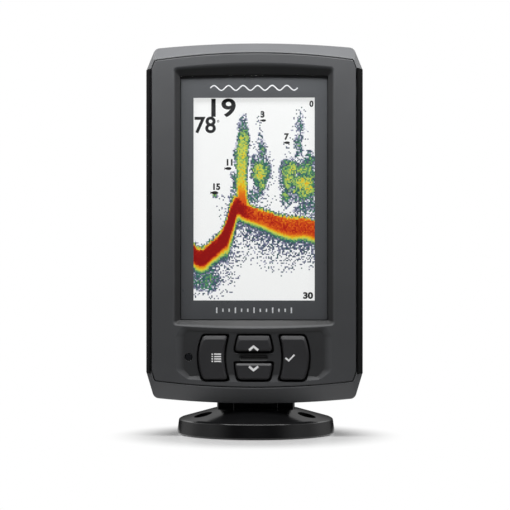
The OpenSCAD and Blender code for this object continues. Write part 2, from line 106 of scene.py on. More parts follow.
ROUND_STEPS = 6


def rounded(corners, closed=True):
    """Points along an outline of corners (a, b, radius). A corner with radius 0 stays a point."""
    points = []
    count = len(corners)
    for i, (a, b, radius) in enumerate(corners):
        here = Vector((a, b))
        if not radius or (not closed and i in (0, count - 1)):
            points.append(here)
            continue
        back = (Vector(corners[i - 1][:2]) - here).normalized()
        ahead = (Vector(corners[(i + 1) % count][:2]) - here).normalized()
        half = back.angle(ahead) / 2
        centre = here + (back + ahead).normalized() * (radius / math.sin(half))
        first = here + back * (radius / math.tan(half)) - centre
        last = here + ahead * (radius / math.tan(half)) - centre
        turn = math.atan2(first.x * last.y - first.y * last.x, first.dot(last))
        for k in range(ROUND_STEPS + 1):
            angle = turn * k / ROUND_STEPS
            cos, sin = math.cos(angle), math.sin(angle)
            points.append(centre + Vector((first.x * cos - first.y * sin, first.x * sin + first.y * cos)))
    return points


def inset(ring, distance):
    """The closed ring moved inwards by distance."""
    count = len(ring)
    area = sum(ring[i - 1].x * ring[i].y - ring[i].x * ring[i - 1].y for i in range(count))
    side = 1 if area > 0 else -1
    moved = []
    for i, point in enumerate(ring):
        before = (point - ring[i - 1]).normalized()
        after = (ring[(i + 1) % count] - point).normalized()
        n0 = Vector((-before.y, before.x)) * side
        n1 = Vector((-after.y, after.x)) * side
        moved.append(point + (n0 + n1) / (1 + n0.dot(n1)) * distance)
    return moved


def arc(centre, radius, start, end, steps):
    """Points of an arc between two angles in degrees."""
    angles = [math.radians(start + (end - start) * i / steps) for i in range(steps + 1)]
    return [Vector((centre[0] + radius * math.cos(a), centre[1] + radius * math.sin(a))) for a in angles]


def circle(radius, steps=64, centre=(0, 0)):
    return arc(centre, radius, 0, 360 - 360 / steps, steps - 1)


def crown(edge, z_edge, z_mid):
    """Corners of a shallow crown from x = edge to x = -edge."""
    steps = 16
    spots = [1 - 2 * i / steps for i in range(steps + 1)]
    return [[edge * s, z_mid + (z_edge - z_mid) * s * s, 0] for s in spots]


def banded(top, bottom, sides, radius, inwards=0.0):
    """A ring with a crowned top and bottom and straight sides, moved inwards before its corners are
    rounded. Each crown is (edge x, edge z, middle z) and each side corner (half width, z, radius)."""
    upper = crown(*top)
    lower = crown(*bottom)[::-1]
    for corner in (upper[0], upper[-1], lower[0], lower[-1]):
        corner[2] = radius
    left = [[-w, z, side_radius] for w, z, side_radius in sides]
    right = [[w, z, side_radius] for w, z, side_radius in reversed(sides)]
    corners = upper + left + lower + right
    if inwards:
        moved = inset([Vector(c[:2]) for c in corners], inwards)
        corners = [[p.x, p.y, max(c[2] - inwards, 0.3) if c[2] else 0] for p, c in zip(moved, corners)]
    return rounded(corners)


# Outlines of the head: [half width, side z, corner x, corner z, crown z, corner radius]. Each pair is
# the lower and the upper value.
BODY = [HALF_W, (13.6, HEAD_H - 12.3), (46.2, 45.6), (2.4 - CHIN, HEAD_H - 2.2), (-CHIN, HEAD_H), 3]
RIM = [HALF_W - 2.8, (14.7, HEAD_H - 12.4), (45.4, 45.4), (10.1, HEAD_H - 8.3), (7.2, HEAD_H - 5), 1]
BACK = [34, (68, HEAD_H - 24.5), (30, 30), (61.2, HEAD_H - 17.3), (59.2, HEAD_H - 15.3), 4]


def head_ring(line, inwards=0.0):
    half_w, side_z, corner_x, corner_z, crown_z, radius = line
    low, high = zip(corner_x, corner_z, crown_z)
    sides = [(half_w, side_z[1], radius), (half_w, side_z[0], radius)]
    return banded(high, low, sides, radius, inwards)


# ---------- meshes ----------

def placed(name, data):
    """A new object in the scene."""
    obj = bpy.data.objects.new(name, data)
    bpy.context.scene.collection.objects.link(obj)
    return obj


def solid(name, rings):
    """A closed mesh skinned over rings of points, with flat ends."""
    count = len(rings[0])
    points = [p for ring in rings for p in ring]
    faces = [list(range(count))[::-1], [len(points) - count + i for i in range(count)]]
    for k in range(len(rings) - 1):
        for i in range(count):
            j = (i + 1) % count
            faces.append([k * count + i, k * count + j, (k + 1) * count + j, (k + 1) * count + i])
    mesh = bpy.data.meshes.new(name)
    mesh.from_pydata(points, [], faces)
    tidy(mesh)
    return placed(name, mesh)


def tidy(mesh, gap=1e-6):
    """Merges doubled points and turns all faces outwards."""
    bm = bmesh.new()
    bm.from_mesh(mesh)
    bmesh.ops.remove_doubles(bm, verts=bm.verts, dist=gap)
    bmesh.ops.dissolve_degenerate(bm, edges=bm.edges, dist=gap)
    bmesh.ops.recalc_face_normals(bm, faces=bm.faces)
    bm.to_mesh(mesh)
    bm.free()


def sweep(name, ring, profile, place):
    """A solid swept along its axis. profile holds corners (inset, position, radius) from end to end."""
    rings = []
    for step, at in rounded(profile, closed=False):
        section = inset(ring, step) if step else ring
        rings.append([place(p.x, p.y, at) for p in section])
    return solid(name, rings)


def prism(name, ring, start, end, place):
    """A solid of even section between two positions on its axis."""
    return sweep(name, ring, [(0, start, 0), (0, end, 0)], place)


def loft(name, sections, place):
    """A solid through sections (ring, position, reach). The skin turns over reach mm on both sides."""
    rows = [[Vector((p.x, p.y, at)) for p in ring] for ring, at, _ in sections]
    path = [rows[0]]
    for k in range(1, len(rows) - 1):
        reach = sections[k][2]
        if not reach:
            path.append(rows[k])
            continue
        bends = []
        for before, here, after in zip(rows[k - 1], rows[k], rows[k + 1]):
            to_before, to_after = before - here, after - here
            a = here + to_before * min(0.48, reach / max(to_before.length, 1e-6))
            b = here + to_after * min(0.48, reach / max(to_after.length, 1e-6))
            bends.append((a, here, b))
        for s in range(ROUND_STEPS + 1):
            t = s / ROUND_STEPS
            path.append([a * (1 - t) ** 2 + c * 2 * t * (1 - t) + b * t ** 2 for a, c, b in bends])
    path.append(rows[-1])
    return solid(name, [[place(*p) for p in row] for row in path])


def final_mesh(obj):
    """A copy of the object's mesh with its modifiers applied, or of the mesh that its curve makes."""
    return bpy.data.meshes.new_from_object(obj.evaluated_get(bpy.context.evaluated_depsgraph_get()))


def combine(target, operation, *tools):
    """Joins the tools to the target, or cuts them out of it, and uses them up."""
    for tool in tools:
        step = target.modifiers.new(operation, "BOOLEAN")
        step.operation = operation
        step.solver = "EXACT"
        step.object = tool
        result = final_mesh(target)
        target.modifiers.clear()
        target.data = result
        bpy.data.objects.remove(tool)
    return target


def add(target, *tools):
    return combine(target, "UNION", *tools)


def cut(target, *tools):
    return combine(target, "DIFFERENCE", *tools)


def set_looks(obj, material):
    """The one material, and smooth shading that leaves flat faces flat."""
    obj.data.materials.clear()
    obj.data.materials.append(material)
    obj.data.shade_smooth()
    shading = obj.modifiers.new("shading", "WEIGHTED_NORMAL")
    shading.keep_sharp = True
    return obj


def finish_piece(obj, material, body, *nodes, angle=28):
    """A piece drawn here, for the nodes it replaces. Its edges of more than angle degrees stay sharp."""
    tidy(obj.data, 2e-6)
    set_looks(obj, material)
    obj.data.set_sharp_from_angle(angle=math.radians(angle))
    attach(obj, body)
    if nodes:
        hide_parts(*nodes)


def dress(node, material, bevel=0.0):
    """Gives a CAD node its material and softens its edges by bevel mm."""
    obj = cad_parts[node]
    weld = obj.modifiers.new("weld", "WELD")
    weld.merge_threshold = 2e-6
    if bevel:
        edge = obj.modifiers.new("bevel", "BEVEL")
        edge.width = bevel * MM
        edge.segments = 2
        edge.limit_method = "ANGLE"
        edge.angle_limit = math.radians(35)
    set_looks(obj, material)


# ---------- materials ----------

def linear(red, green, blue):
    """A colour given as the eye reads it, 0 to 255, as the linear values that shaders use."""
    values = [c / 255 for c in (red, green, blue)]
    return [c / 12.92 if c <= 0.04045 else ((c + 0.055) / 1.055) ** 2.4 for c in values] + [1]


def feed(tree, node, inputs):
    """Sets a node's inputs, given by name or number, to constants or links them to what is given."""
    for key, source in inputs.items():
        if isinstance(source, Value):
            source = source.socket
        if isinstance(source, bpy.types.Node):
            source = source.outputs[0]
        if isinstance(source, bpy.types.NodeSocket):
            tree.links.new(source, node.inputs[key])
        else:
            node.inputs[key].default_value = source
    return node


def new_node(tree, kind, inputs=None, **settings):
    node = tree.nodes.new("ShaderNode" + kind)
    for name, value in settings.items():
        setattr(node, name, value)
    return feed(tree, node, inputs or {})


class Value:
    """A shader value that can stand in a formula, so that a pattern's code reads as its formula."""

    def __init__(self, tree, socket):
        self.tree = tree
        self.socket = socket

    def join(self, operation, *others):
        inputs = dict(enumerate((self, *others)))
        return Value(self.tree, new_node(self.tree, "Math", inputs, operation=operation).outputs[0])

    __add__ = __radd__ = partialmethod(join, "ADD")
    __sub__ = partialmethod(join, "SUBTRACT")
    __mul__ = __rmul__ = partialmethod(join, "MULTIPLY")
    __truediv__ = partialmethod(join, "DIVIDE")
    floor = partialmethod(join, "FLOOR")
    above = partialmethod(join, "MAXIMUM")
    below = partialmethod(join, "MINIMUM")

    def __neg__(self):
        return self * -1

    def power(self, other):
        return self.above(0).join("POWER", other)

    def step_between(self, low, high):
        """0 at low and 1 at high, turning smoothly between."""
        node = new_node(self.tree, "MapRange", {"Value": self, "From Min": low, "From Max": high},
                        interpolation_type="SMOOTHSTEP")
        return Value(self.tree, node.outputs["Result"])

    def curve(self, spots):
        """A smooth curve through (value, result) pairs, both between 0 and 1."""
        node = new_node(self.tree, "FloatCurve", {"Value": self})
        points = node.mapping.curves[0].points
        while len(points) < len(spots):
            points.new(0.5, 0.5)
        for point, spot in zip(points, spots):
            point.location = spot
        node.mapping.update()
        return Value(self.tree, node.outputs["Value"])

    def ramp(self, stops):
        """A colour from stops (place, colour)."""
        node = new_node(self.tree, "ValToRGB", {"Fac": self})
        marks = node.color_ramp.elements
        while len(marks) < len(stops):
            marks.new(0.5)
        for mark, (place, colour) in zip(marks, stops):
            mark.position = place
            mark.color = colour
        return node.outputs["Color"]


def blank_material(name):
    material = bpy.data.materials.new(name)
    material.use_nodes = True
    tree = material.node_tree
    return material, tree, tree.nodes["Principled BSDF"]


def parts_of(tree, source):
    """The three coordinates of a vector."""
    return [Value(tree, socket) for socket in new_node(tree, "SeparateXYZ", {0: source}).outputs]


def object_point(tree):
    """The three coordinates of the shaded point in millimetres, and the vector they come from."""
    source = new_node(tree, "TexCoord").outputs["Object"]
    return [part * (1 / MM) for part in parts_of(tree, source)], source


def vector(tree, x, y, z):
    return new_node(tree, "CombineXYZ", {0: x, 1: y, 2: z}).outputs[0]


def mixed(tree, share, first, second):
    """The first shader where share is 0 and the second where it is 1."""
    return new_node(tree, "MixShader", {0: share, 1: first, 2: second})


def noise(tree, source, size, detail=2.0, roughness=0.5):
    """Fractal noise around 0.5, with features about size mm across."""
    node = new_node(tree, "TexNoise", {
        "Vector": source, "Scale": 1 / (size * MM), "Detail": detail, "Roughness": roughness,
    })
    return Value(tree, node.outputs["Fac"])


def surface(name, colour, rough, grain=0.3, depth=0.01, mottle=0.06, rough_mottle=0.06, metal=0.0,
            coat=0.0, stretch=(1, 1, 1), specular=0.5, painted_recess_shade=0.0):
    """A moulded, turned or rolled surface: fine relief, uneven colour and uneven shine.

    The last argument is painted shade: it darkens what lies deeper than the front plate's face, by that
    share at full depth, so that the window recess, the key pocket and the key holes look shaded."""
    material, tree, shader = blank_material(name)
    (_, y, _), source = object_point(tree)
    if stretch != (1, 1, 1):
        source = new_node(tree, "Mapping", {"Vector": source, "Scale": stretch}).outputs[0]
    fine = noise(tree, source, grain, 3, 0.55)
    broad = noise(tree, source, 14, 3, 0.6)
    dark = [c * (1 - mottle) for c in colour[:3]] + [1]
    light = [min(1, c * (1 + mottle)) for c in colour[:3]] + [1]
    blend = (fine * 0.5 + broad * 0.5).ramp([(0.3, dark), (0.7, light)])
    if painted_recess_shade:
        # Painted shade: the colour darkens from 0.1 to 1.1 mm behind the front plate's face, standing in
        # for the shade that falls in recesses.
        recess_shade_share = (y - FACE / MM).step_between(0.1, 1.1)
        blend = new_node(tree, "VectorMath", {0: blend, "Scale": recess_shade_share * -painted_recess_shade + 1}, operation="SCALE")
    feed(tree, shader, {
        "Base Color": blend,
        "Roughness": (broad - 0.5) * (2 * rough_mottle) + (fine - 0.5) * rough_mottle + rough,
        "Normal": new_node(tree, "Bump", {"Strength": 1, "Distance": depth * MM, "Height": fine}),
        "Metallic": metal,
        "Specular IOR Level": specular,
        "Coat Weight": coat,
        "Coat Roughness": 0.06,
    })
    return material


CHARCOAL = surface("charcoal_plastic", linear(95, 96, 98), 0.5, grain=0.22, depth=0.012, mottle=0.05)
# The front plate's colour darkens with depth behind its face: painted shade in its recesses.
PLATE = surface("charcoal_plate", linear(69, 70, 72), 0.5, grain=0.22, depth=0.012, mottle=0.05,
                painted_recess_shade=0.72)
BORDER = surface("border_print", linear(88, 89, 91), 0.3, grain=0.5, depth=0.0005, mottle=0.015)
GLOSS_BLACK = surface("gloss_black_plastic", linear(17, 17, 18), 0.16, grain=6, depth=0.03, mottle=0.1,
                      rough_mottle=0.04)
SATIN_BLACK = surface("matte_black_plastic", linear(26, 26, 27), 0.42, grain=0.25)
KEY_PLASTIC = surface("key_plastic", linear(46, 46, 48), 0.46, grain=0.2, depth=0.008)
GRIP_RUBBER = surface("grip_rubber", linear(9, 9, 10), 0.8, grain=0.35, depth=0.02, specular=0.1)
PAD_RUBBER = surface("pad_rubber", linear(34, 34, 34), 0.9, 0.5, 0.08, mottle=0.25, specular=0.3)
SEAL_RUBBER = surface("seal_rubber", linear(48, 46, 46), 0.65, grain=0.4)
SILICONE = surface("silicone", linear(138, 138, 142), 0.5, grain=0.5)
WHITE_PLASTIC = surface("white_plastic", linear(236, 236, 234), 0.4, grain=0.4, depth=0.006, mottle=0.02)
FILM = surface("flex_film", linear(190, 118, 34), 0.25, grain=1.2, depth=0.004, coat=0.3)
LAMINATE = surface("board_laminate", linear(24, 92, 58), 0.35, grain=0.7, mottle=0.15, coat=0.3)
RESIN = surface("chip_resin", linear(30, 30, 31), 0.6, grain=0.2, depth=0.006)
CAN = surface("capacitor_can", linear(200, 202, 206), 0.3, depth=0.004, metal=1, stretch=(1, 9, 1))
FERRITE = surface("ferrite", linear(66, 62, 60), 0.55, depth=0.02, mottle=0.2)
LENS = surface("light_lens", linear(26, 27, 30), 0.12, grain=2, depth=0.004, coat=0.6)
STEEL = surface("steel", linear(186, 188, 192), 0.28, grain=0.35, depth=0.006, metal=1, stretch=(1, 1, 7))
BRASS = surface("brass", linear(206, 172, 104), 0.26, depth=0.006, metal=1, stretch=(1, 1, 7))
PRINT = surface("print_white", linear(238, 238, 238), 0.5, grain=0.15, depth=0.004, mottle=0.03)
INK = surface("screen_ink", linear(26, 26, 28), 0.5, depth=0.001, mottle=0.02)


def clear_window():
    """Polished acrylic sheet: clear, with reflections on its front that grow at a grazing angle."""
    material, tree, shader = blank_material("clear_window")
    tree.nodes.remove(shader)
    _, source = object_point(tree)
    see = new_node(tree, "BsdfTransparent", {"Color": (0.97, 0.975, 0.98, 1)})
    mirror = new_node(tree, "BsdfGlossy", {"Roughness": (noise(tree, source, 9, 3) - 0.5) * 0.04 + 0.05})
    fresnel = Value(tree, new_node(tree, "Fresnel", {"IOR": 1.49}).outputs[0])
    path = new_node(tree, "LightPath").outputs
    lit = Value(tree, path["Is Shadow Ray"]).above(Value(tree, path["Is Diffuse Ray"]))
    _, facing, _ = parts_of(tree, new_node(tree, "NewGeometry").outputs["Normal"])
    share = fresnel * (-facing).step_between(0.5, 0.9) * (-lit + 1)
    feed(tree, tree.nodes["Material Output"], {"Surface": mixed(tree, share, see, mirror)})
    return material


# ---------- front plate ----------

PLATE_SEAT = 4.5
POCKET_DEPTH = 0.8
KEY_GAP = 0.8
KEY_MID_Z = 20.9
KEY_HALF_H = 10
WINDOW_LOW, WINDOW_HIGH = head_box("display_window")
WINDOW_HALF_W = WINDOW_HIGH[0]
WINDOW_DEPTH = WINDOW_LOW[2]
WINDOW_BACK = WINDOW_HIGH[2]
VIEW_HALF_W = 27.75
VIEW_LOW = 46.9
VIEW_HIGH = 139.7
SCREW_SPOTS = [(x, z) for x in (-40.5, 40.5) for z in (18, 83, 148)]
SCREW_SEAT = 15           # depth at which the housing screws' heads sit
POST_SPOTS = [(-31.5, 34.2), (31.5, 34.2), (-30, 150), (30, 150)]
POST_END = 15.55          # the circuit board rests on the posts' ends
BOSS_R = 3
PIVOT = (47, 34.2)        # the tilt axis, as depth and height in the head
BOLT_BORE = 2.58
ARM_IN = 9.95             # inner and outer faces of the yoke's two arms
ARM_OUT = 18.05


def rod(radius, start, end, at, flare=0, steps=32):
    """A round cutter or boss along the head's depth, wider by flare where it starts."""
    profile = [(0, start, 0), (0, end, 0)]
    if flare:
        profile = [(-flare - 0.6, start - 0.6, 0), (0, start + flare, 0), (0, end, 0)]
    return sweep("rod", circle(radius, steps, at), profile, in_head)


def rectangle(half_w, low, high, radius):
    return rounded([(x, z, radius) for x, z in (
        (half_w, high), (-half_w, high), (-half_w, low), (half_w, low),
    )])


def side_key_ring(side, grow=0.0):
    """Outline of the menu key (side -1) or the check key (side 1): both long sides bulge outwards."""
    radius = 1.3 + min(0.0, grow) * 0.6
    bulge, waist = 25 + grow, 32 - grow
    outer_x, inner_x = 25.2 - 25, 13.5 - 32
    half_h = KEY_HALF_H + grow
    outer = math.degrees(math.asin(half_h / bulge))
    inner = math.degrees(math.asin(half_h / waist))
    steps = 7
    points = arc((outer_x, KEY_MID_Z), bulge, -outer, outer, steps)
    points += arc((inner_x, KEY_MID_Z), waist, inner, -inner, steps)
    corners = [[side * p.x, p.y, 0] for p in points]
    for i in (0, steps):
        corners[i][2] = radius * 1.7
    for i in (steps + 1, -1):
        corners[i][2] = radius * 0.8
    return rounded(corners)


def arrow_key_ring(low, high, grow=0.0, low_radius=1.0, high_radius=1.0):
    """Outline of an up or down key between two heights over the row's middle."""
    waist = 32 + grow
    centre = 32 - 8.6
    low, high = low - grow, high + grow
    start, end = (math.degrees(math.asin(h / waist)) for h in (low, high))
    steps = 3
    right = [(p.x - centre, p.y + KEY_MID_Z) for p in arc((0, 0), waist, start, end, steps)]
    corners = [[x, z, 0] for x, z in right] + [[-x, z, 0] for x, z in reversed(right)]
    shrink = min(0.0, grow) * 0.5
    for i in (0, -1):
        corners[i][2] = low_radius + shrink
    for i in (steps, steps + 1):
        corners[i][2] = high_radius + shrink
    return rounded(corners)


# For each key: its outline grown by some mm, the height of its upper bevel, and its plunger's place
KEYS = {
    "menu": (lambda grow: side_key_ring(-1, grow), 1.7, (-19, KEY_MID_Z)),
    "check": (lambda grow: side_key_ring(1, grow), 1.7, (19, KEY_MID_Z)),
    "up": (lambda grow: arrow_key_ring(2.9, 10, grow, 1.2, 0.9), 2.0, (0, KEY_MID_Z + 6.45)),
    "down": (lambda grow: arrow_key_ring(-10, -2.5, grow, 2.0, 0.9), 1.0, (0, KEY_MID_Z - 6.25)),
}


def window_recess():
    """The sloped walls that lead down to the window."""
    top_edge = WINDOW_HIGH[1]
    mouth = banded((36.7, top_edge + 2.9, top_edge + 4.9), (36.8, 35.8, 34.4), [], 1.8)
    floor_w = WINDOW_HALF_W + 0.2
    floor = banded((floor_w, top_edge - 0.65, top_edge - 0.05), (floor_w, 37.8, 37.8), [], 0.5)
    rim = 0.4
    profile = [(-rim, -1.0, 0), (-rim, 0.0, 0), (0.0, 0.0, rim), (0.0, WINDOW_DEPTH, 0)]
    rings = []
    for step, depth in rounded(profile, closed=False):
        share = max(0.0, depth / WINDOW_DEPTH)
        section = [a.lerp(b, share) for a, b in zip(mouth, floor)]
        rings.append([in_head(p.x, p.y, depth) for p in inset(section, step)])
    rings.append([in_head(p.x, p.y, WINDOW_BACK + 0.3) for p in floor])
    return solid("recess", rings)


def key_pocket():
    """The shallow pocket round the keys. Its lower wall is a long slope."""
    mouth = banded((33, 34.8, 33.9), (30, 11.0, 9.7), [(35.6, 30.5, 3), (35.6, 15, 3)], 2.5)
    floor = banded((30.5, 33.0, 32.1), (29, 12.3, 13.3), [(31.9, 30.5, 2), (31.9, 15.5, 2)], 1.5)
    over = inset(mouth, -0.3)
    return loft("pocket", [
        (inset(over, -0.1), -1, 0),
        (over, 0, 0),
        (mouth, 0.02, 0.25),
        (floor, POCKET_DEPTH, 0.2),
        (inset(floor, 0.6), POCKET_DEPTH, 0),
    ], in_head)


def front_plate():
    plate = sweep("front_plate", head_ring(RIM, 0.35),
                  [(0, PLATE_SEAT, 0), (0, 0, 0.45), (0.5, 0, 0)], in_head)
    add(plate, prism("stiffener", rectangle(36.8, 35, 152.6, 1), 3.5, 5.7, in_head))
    for at in SCREW_SPOTS:
        add(plate, rod(BOSS_R, 3.5, SCREW_SEAT - 2.5, at))
    for at in POST_SPOTS:
        add(plate, rod(BOSS_R, 3.5, POST_END, at))
    cut(plate, window_recess(), key_pocket())
    cut(plate, prism("view", rectangle(VIEW_HALF_W + 3, VIEW_LOW - 3, VIEW_HIGH + 3, 0.5), 2, 8, in_head))
    rim = 0.3
    funnel = [(-rim, POCKET_DEPTH - 1, 0), (-rim, POCKET_DEPTH, 0), (0, POCKET_DEPTH, rim), (0, 9, 0)]
    for outline, _, _ in KEYS.values():
        cut(plate, sweep("key_hole", outline(KEY_GAP), funnel, in_head))
    dish = rectangle(6.4, 19.7, 22.1, 1.1)
    hollow = [(-0.8, -0.4, 0), (-0.3, 0.8, 0), (0.6, 1.9, 0.4), (1.0, 1.9, 0)]
    cut(plate, sweep("dish", dish, hollow, in_head))
    cut(plate, rod(1.8, POCKET_DEPTH, 9, middle_of("status_light"), flare=0.1))
    for at in SCREW_SPOTS:
        cut(plate, rod(1.35, SCREW_SEAT - 10, 20, at))
    for at in POST_SPOTS:
        cut(plate, rod(1.3, 9.6, 20, at))
    finish_piece(plate, PLATE, "head", "front_bezel")


front_plate()

# ---------- housing ----------

GRIP_LOW, GRIP_HIGH = head_box("grip_right")
GRIP_DEPTH = GRIP_HIGH[2]


def grip_section(side):
    """Section of a side grip in x and depth: a lip beside the front plate, then the flank."""
    corners = [
        (2.7, 0.35, 0.15), (2.1, 0.35, 0.25), (0, 7, 1.6), (0.8, GRIP_DEPTH, 0.35),
        (2.35, GRIP_DEPTH, 0.1), (1.6, 8, 0.5), (2.0, 5.6, 0.2), (2.7, 5.6, 0.1),
    ]
    return rounded([(side * (HALF_W - inwards), depth, radius) for inwards, depth, radius in corners])


def grip(side, name):
    low, high = GRIP_LOW[1], GRIP_HIGH[1]
    profile = [(0.1, low, 0), (0, low, 0.08), (0, high, 0.08), (0.1, high, 0)]
    strip = sweep(name + "_rubber", grip_section(side), profile, on_flank)
    finish_piece(strip, GRIP_RUBBER, "head", name, angle=40)


grip(-1, "grip_left")
grip(1, "grip_right")


def tangent_angle(start, centre, radius, side):
    """The angle in degrees at which a line from start touches the circle."""
    away = Vector(start) - Vector(centre)
    angle = math.atan2(away.y, away.x) + side * math.acos(radius / away.length)
    return math.degrees(angle)


def lever_ring(roots, centre, radius):
    """A lever's outline: from two roots, tangents to a round end."""
    first = tangent_angle(roots[0], centre, radius, 1)
    last = tangent_angle(roots[1], centre, radius, -1)
    if last < first:
        last += 360
    end = arc(centre, radius, first, last, 28)
    return [Vector(roots[0])] + end + [Vector(roots[1])]


def rear_housing():
    shell = loft("rear_shell", [
        (head_ring(RIM, 0.3), 0.3, 0),
        (head_ring(RIM, -0.5), 0.3, 0.3),
        (head_ring(BODY), 7, 1.3),
        (head_ring(BODY, 0.8), 18, 2.2),
        (head_ring(BACK), 37, 2.5),
        (head_ring(BACK, 3.2), 37, 0),
    ], in_head)
    hub = lever_ring([(18, 19.2), (26, 54.2)], PIVOT, 9.5)
    half_w = ARM_IN - 1.1
    ends = [(0.9, -half_w, 0), (0, -half_w, 0.9), (0, half_w, 0.9), (0.9, half_w, 0)]
    add(shell, sweep("hub", hub, ends, along_x))
    cut(shell, loft("cavity", [
        (head_ring(RIM, 2.6), 4.4, 0),
        (head_ring(BODY, 4.2), 18, 0),
        (head_ring(BACK, 2.6), 34.4, 0),
    ], in_head))
    for at in SCREW_SPOTS:
        tube = rod(4.2, SCREW_SEAT - 2.4, 40, at)
        outside = loft("outside", [
            (head_ring(BODY, 1.0), 7, 0),
            (head_ring(BODY, 1.4), 18, 0),
            (head_ring(BACK, 0.9), 36.2, 0),
        ], in_head)
        add(shell, combine(tube, "INTERSECT", outside))
    for at in SCREW_SPOTS:
        cut(shell, rod(3.1, SCREW_SEAT, 45, at), rod(1.6, SCREW_SEAT - 4, 20, at))
    cut(shell, prism("mouth", head_ring(RIM), -1, PLATE_SEAT, in_head))
    gland = prism("gland", head_ring(RIM, 0.5), PLATE_SEAT - 1, PLATE_SEAT + 0.9, in_head)
    cut(gland, prism("core", head_ring(RIM, 2), PLATE_SEAT - 2, PLATE_SEAT + 2, in_head))
    cut(shell, gland)
    length = [(0, GRIP_LOW[1] - 0.1, 0), (0, GRIP_HIGH[1] + 0.1, 0)]
    corners = [(2.8, -1), (-9, -1), (-9, GRIP_DEPTH + 0.05), (2.42, GRIP_DEPTH + 0.05), (1.66, 8),
               (2.05, 5.66), (2.8, 5.66)]
    for side in (-1, 1):
        groove = [Vector((side * (HALF_W - inwards), depth)) for inwards, depth in corners]
        cut(shell, sweep("groove", groove, length, on_flank))
    for node in ("power_socket", "sonar_socket"):
        cut(shell, rod(7, 30, 40, middle_of(node)))
    bore = prism("bore", circle(BOLT_BORE, 32, PIVOT), -20, 20, along_x)
    cut(shell, bore)
    finish_piece(shell, CHARCOAL, "head", "rear_housing")


rear_housing()

# ---------- keys ----------

KEY_FACE = head_box("button_up")[0][2]
KEY_FLANGE = 4.7
PLUNGER_END = head_box("button_up")[1][2]


def key(name, outline, top_bevel, plunger_at):
    """A key: soft face with a wide upper bevel, straight sides, flange and plunger."""
    ring = outline(0)
    bevel = 0.75

    def face_ring(grow):
        shrunk = outline(grow)
        top = max(p.y for p in shrunk)
        middle = (top + min(p.y for p in shrunk)) / 2
        slope = (top_bevel - bevel) / (top - middle)
        return [Vector((p.x, p.y - slope * max(0, p.y - middle))) for p in shrunk]

    cap = loft(f"button_{name}_cap", [
        (face_ring(-bevel - 0.4), KEY_FACE, 0),
        (face_ring(-bevel), KEY_FACE + 0.02, 0.3),
        (ring, 0.3, 0.3),
        (ring, KEY_FLANGE + 0.02, 0),
        (ring, KEY_FLANGE + 0.5, 0),
    ], in_head)
    flange_ring = inset(ring, -1.25)
    lowest = min(p.y for p in ring) - 0.25
    flange_ring = [Vector((p.x, max(p.y, lowest))) for p in flange_ring]
    add(cap, prism("flange", flange_ring, KEY_FLANGE, KEY_FLANGE + 1, in_head))
    add(cap, rod(2, KEY_FLANGE + 0.6, PLUNGER_END, plunger_at))
    finish_piece(cap, KEY_PLASTIC, "key_" + name, "button_" + name)


for key_name, key_shape in KEYS.items():
    key(key_name, *key_shape)


def membrane():
    """Silicone sheet behind the keys, with a hollow dome behind each key."""
    low, high = head_box("keypad_membrane")
    front, back = low[2], high[2]
    sheet_front = back - 1.1
    dome_in, dome_out = 2.7, 3.6
    sheet = sweep("membrane_sheet", rectangle(25, KEY_MID_Z - 10, KEY_MID_Z + 10, 1.5),
                  [(0, sheet_front, 0.2), (0, back, 0)], in_head)
    for _, _, at in KEYS.values():
        cut(sheet, rod(dome_in, front, back + 1, at))
    finish_piece(sheet, SILICONE, "head", "keypad_membrane")
    skin = [(0.6, front, 0), (0, front, 0.6), (0, sheet_front, 0)]
    for name, (_, _, at) in KEYS.items():
        dome = sweep(name + "_dome", circle(dome_out, 40, at), skin, in_head)
        cut(dome, rod(dome_in, front + 1.3, back, at))
        finish_piece(dome, SILICONE, "head")
        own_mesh(dome)


membrane()


def stroke(name, line, width, body, depth, thickness=0.05):
    """A printed line of even width along points, standing just off the face it is printed on."""
    points = [Vector(p) for p in line]
    left, right = [], []
    for i, point in enumerate(points):
        before = points[i] - points[i - 1] if i else points[1] - points[0]
        after = points[i + 1] - points[i] if i < len(points) - 1 else before
        n0 = Vector((-before.y, before.x)).normalized()
        n1 = Vector((-after.y, after.x)).normalized()
        way = (n0 + n1) / (1 + n0.dot(n1)) * (width / 2)
        left.append(point + way)
        right.append(point - way)
    ring = left + right[::-1]
    mark = solid(name, [[in_head(p.x, p.y, d) for p in ring] for d in (depth - thickness, depth)])
    finish_piece(mark, PRINT, body)


ICON_LINE = 0.75
KEY_PRINT = KEY_FACE + 0.02
for name, body, middle, lift in (("up_mark", "key_up", 25.2, 1), ("down_mark", "key_down", 16.1, -1)):
    stroke(name, [(-2.1, middle - 0.85 * lift), (0, middle + 0.85 * lift), (2.1, middle - 0.85 * lift)],
           ICON_LINE + 0.3, body, KEY_PRINT)
stroke("check_mark", [(14.5, 20.9), (16.0, 19.6), (18.6, 22.3)], ICON_LINE, "key_check", KEY_PRINT)
LIST_MIDDLE_X = -17
for row in range(4):
    z = KEY_MID_Z + 1.65 - 1.1 * row
    for part, (start, end) in enumerate(((-2.2, -1.5), (-1.0, 2.2))):
        line = [(LIST_MIDDLE_X + start, z), (LIST_MIDDLE_X + end, z)]
        stroke(f"menu_mark_{row}_{part}", line, 0.62, "key_menu", KEY_PRINT)

# ---------- window and picture ----------


def window_lens():
    """The clear sheet, a hair thinner than its CAD solid so as not to share a face with the border."""
    half = WINDOW_HALF_W
    low, high = WINDOW_LOW[1], WINDOW_HIGH[1]
    ring = banded((half, high - 0.75, high - 0.15), (half, low, low), [], 0.4)
    sheet = sweep("window_lens", ring, [
        (0.35, WINDOW_DEPTH, 0), (0.15, WINDOW_DEPTH, 0.1), (0, WINDOW_DEPTH + 0.2, 0),
        (0, WINDOW_BACK - 0.06, 0),
    ], in_head)
    finish_piece(sheet, clear_window(), "head", "display_window")


window_lens()


def random_dot(tree, x, z, seed):
    """A number from 0 to 1 for each dot of the picture."""
    node = new_node(tree, "TexWhiteNoise", {"Vector": vector(tree, x, z, seed)}, noise_dimensions="3D")
    return Value(tree, node.outputs["Value"])


